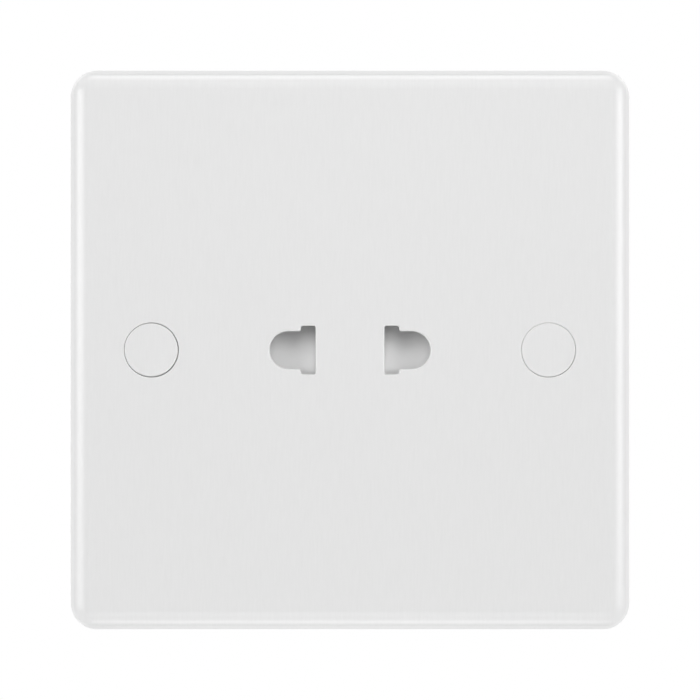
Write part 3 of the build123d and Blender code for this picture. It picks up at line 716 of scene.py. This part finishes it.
def screw_cap(node, name, swell, shift_x, shift_z):
    """A cap in the place of its solid, a little larger and out of the middle as its fit allows."""
    low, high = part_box(node)
    radius = (high.x - low.x) / 2 + swell
    back = low.y + CAP_THICKNESS
    x = (low.x + high.x) / 2 + shift_x
    z = (low.z + high.z) / 2 + shift_z
    bpy.ops.object.select_all(action="DESELECT")
    bpy.ops.mesh.primitive_cylinder_add(vertices=CAP_SIDES, radius=radius, depth=CAP_THICKNESS,
                                        location=(x, low.y + CAP_THICKNESS / 2, z),
                                        rotation=(math.radians(90), 0, 0))
    cap = bpy.context.object
    bpy.ops.object.transform_apply(location=True, rotation=True)
    edit(cap)
    select_faces(cap, lambda normal: normal.y < -FACING)
    bpy.ops.mesh.region_to_loop()
    bpy.ops.mesh.bevel(offset=CAP_EDGE, segments=CAP_EDGE_STEPS, affect="EDGES")
    select_faces(cap, lambda normal: normal.y > FACING)
    bpy.ops.mesh.inset(thickness=radius - CAP_SKIRT)
    bpy.ops.mesh.extrude_region_move(TRANSFORM_OT_translate={"value": (0, high.y - back, 0)})
    bpy.ops.mesh.inset(thickness=CAP_SKIRT_WALL)
    bpy.ops.mesh.extrude_region_move(TRANSFORM_OT_translate={"value": (0, back - high.y, 0)})
    bpy.ops.object.mode_set(mode="OBJECT")
    depth = 2 * (high.y - back)
    for width, height in ((2 * radius, CAP_SKIRT_SLIT), (CAP_SKIRT_SLIT, 2 * radius)):
        slit = box_solid(width, depth, height, (x, back + depth / 2, z))
        join_solids(cap, slit, "DIFFERENCE")
    return finish_piece(cap, name, white_moulding)


for node, (swell, shift_x, shift_z) in CAP_SWELL_AND_SHIFTS.items():
    cap = screw_cap(node, node + "_moulding", swell, shift_x, shift_z)
    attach(cap, "socket")
    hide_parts(node)


# Floor: a round pale board some way under the part, which only catches its shadow.
# To the camera and to mirror-like surfaces it fades to plain white at its rim.
FLOOR_HEIGHT = -200 * MM
FLOOR_RADIUS = 240 * MM
FLOOR_FADE_FROM = 90 * MM
FLOOR_SHADOW_SHARE = 0.55
FLOOR_SIDES = 128
FLOOR_PALE = "#D3D3D3"


def seen_directly(tree):
    """One for rays from the camera and for those seen in gloss or glass, else nothing."""
    path = add_node(tree, "LightPath")
    seen = add_node(tree, "Math", None,
                    {0: path.outputs["Is Camera Ray"], 1: path.outputs["Is Glossy Ray"]},
                    operation="MAXIMUM")
    seen = add_node(tree, "Math", None, {0: seen.outputs[0], 1: path.outputs["Is Transmission Ray"]},
                    operation="MAXIMUM")
    return seen.outputs[0]


def pale_floor():
    """Pale matt board that keeps a soft shadow and turns plain white towards its rim."""
    material = empty_material("pale_matt_board")
    tree = material.node_tree
    place = add_node(tree, "TexCoord").outputs["Object"]
    out = add_node(tree, "VectorMath", None, {0: place}, operation="LENGTH")
    fade = add_node(tree, "MapRange", {"From Min": FLOOR_FADE_FROM, "From Max": FLOOR_RADIUS,
                                       "To Min": 1 - FLOOR_SHADOW_SHARE, "To Max": 1.0},
                    {"Value": out.outputs["Value"]}, interpolation_type="SMOOTHSTEP")
    share = add_node(tree, "Math", None, {0: fade.outputs["Result"], 1: seen_directly(tree)},
                     operation="MULTIPLY")
    board = add_node(tree, "BsdfDiffuse", {"Color": linear(FLOOR_PALE)})
    glow = add_node(tree, "Emission", {"Color": (1, 1, 1, 1), "Strength": 1.0})
    mixed = add_node(tree, "MixShader", None, {0: share.outputs[0], 1: board.outputs["BSDF"],
                                               2: glow.outputs["Emission"]})
    add_node(tree, "OutputMaterial", links={"Surface": mixed.outputs["Shader"]})
    return material


bpy.ops.object.select_all(action="DESELECT")
bpy.ops.mesh.primitive_circle_add(vertices=FLOOR_SIDES, radius=FLOOR_RADIUS, fill_type="NGON")
floor = bpy.context.object
floor.name = "floor"
floor.location.z = FLOOR_HEIGHT
floor.data.materials.append(pale_floor())


# Studio: an even white surround, soft lamps above and below the camera, and one at each side.
# A lamp overhead and one close below draw the light lines along the plate's edges. Two lamps behind
# fill in its back, and show in no gloss, because the plate's rim and the screw heads would mirror them.
SURROUND_LIGHT = 0.18
scene = bpy.context.scene
scene.view_settings.view_transform = "Standard"
world = bpy.data.worlds.new("studio")
scene.world = world
world.use_nodes = True
world.node_tree.nodes.clear()
light = add_node(world.node_tree, "Background", {"Color": (1, 1, 1, 1), "Strength": SURROUND_LIGHT})
white = add_node(world.node_tree, "Background", {"Color": (1, 1, 1, 1), "Strength": 1.0})
surround = add_node(world.node_tree, "MixShader", None,
                    {0: seen_directly(world.node_tree), 1: light.outputs[0], 2: white.outputs[0]})
add_node(world.node_tree, "OutputWorld", links={"Surface": surround.outputs[0]})


def soft_lamp(name, turn, lift, distance, width, height, radiance, mirrored=True):
    """A flat lamp that faces the part: turn is to the right of its face, lift is upwards, in degrees.
    One that isn't mirrored lights matt surfaces and shows in no gloss."""
    lamp = bpy.data.lights.new(name, "AREA")
    lamp.shape = "RECTANGLE"
    lamp.size = width
    lamp.size_y = height
    lamp.energy = radiance * math.pi * width * height
    turn, lift = math.radians(turn), math.radians(lift)
    away = Vector((math.sin(turn) * math.cos(lift), -math.cos(turn) * math.cos(lift), math.sin(lift)))
    holder = bpy.data.objects.new(name, lamp)
    holder.location = away * distance
    holder.rotation_euler = away.to_track_quat("Z", "Y").to_euler()
    holder.visible_camera = False
    holder.visible_glossy = mirrored
    scene.collection.objects.link(holder)


soft_lamp("front_lamp", turn=3, lift=34, distance=0.42, width=0.155, height=0.42, radiance=1.8)
soft_lamp("low_lamp", turn=0, lift=-28, distance=1.2, width=0.53, height=0.66, radiance=2.0)
soft_lamp("left_lamp", turn=-67, lift=5, distance=0.8, width=0.8, height=0.34, radiance=4.75)
soft_lamp("right_lamp", turn=67, lift=5, distance=0.8, width=0.8, height=0.34, radiance=4.75)
soft_lamp("top_lamp", turn=0, lift=95, distance=0.8, width=0.5, height=0.45, radiance=3.4)
soft_lamp("bottom_lamp", turn=0, lift=-86, distance=0.17, width=0.12, height=0.05, radiance=3.4)
soft_lamp("rear_left_lamp", turn=-163, lift=17, distance=1.0, width=0.4, height=0.4, radiance=3.2,
          mirrored=False)
soft_lamp("rear_right_lamp", turn=163, lift=17, distance=1.0, width=0.4, height=0.4, radiance=4.6,
          mirrored=False)


# Camera: straight in front of the plate, level with its middle, far enough back to look nearly parallel.
# Its distance and the width that it sees at the wall are fitted to the outlines in the photograph.
CAMERA_FROM_WALL = 667.5 * MM
PICTURE_WIDTH_AT_WALL = 107.81 * MM
camera_data = bpy.data.cameras.new("camera")
camera_data.lens = camera_data.sensor_width * CAMERA_FROM_WALL / PICTURE_WIDTH_AT_WALL
camera = bpy.data.objects.new("camera", camera_data)
camera.location = (0, -CAMERA_FROM_WALL, 0)
camera.rotation_euler = (math.radians(90), 0, 0)
scene.collection.objects.link(camera)
scene.camera = camera
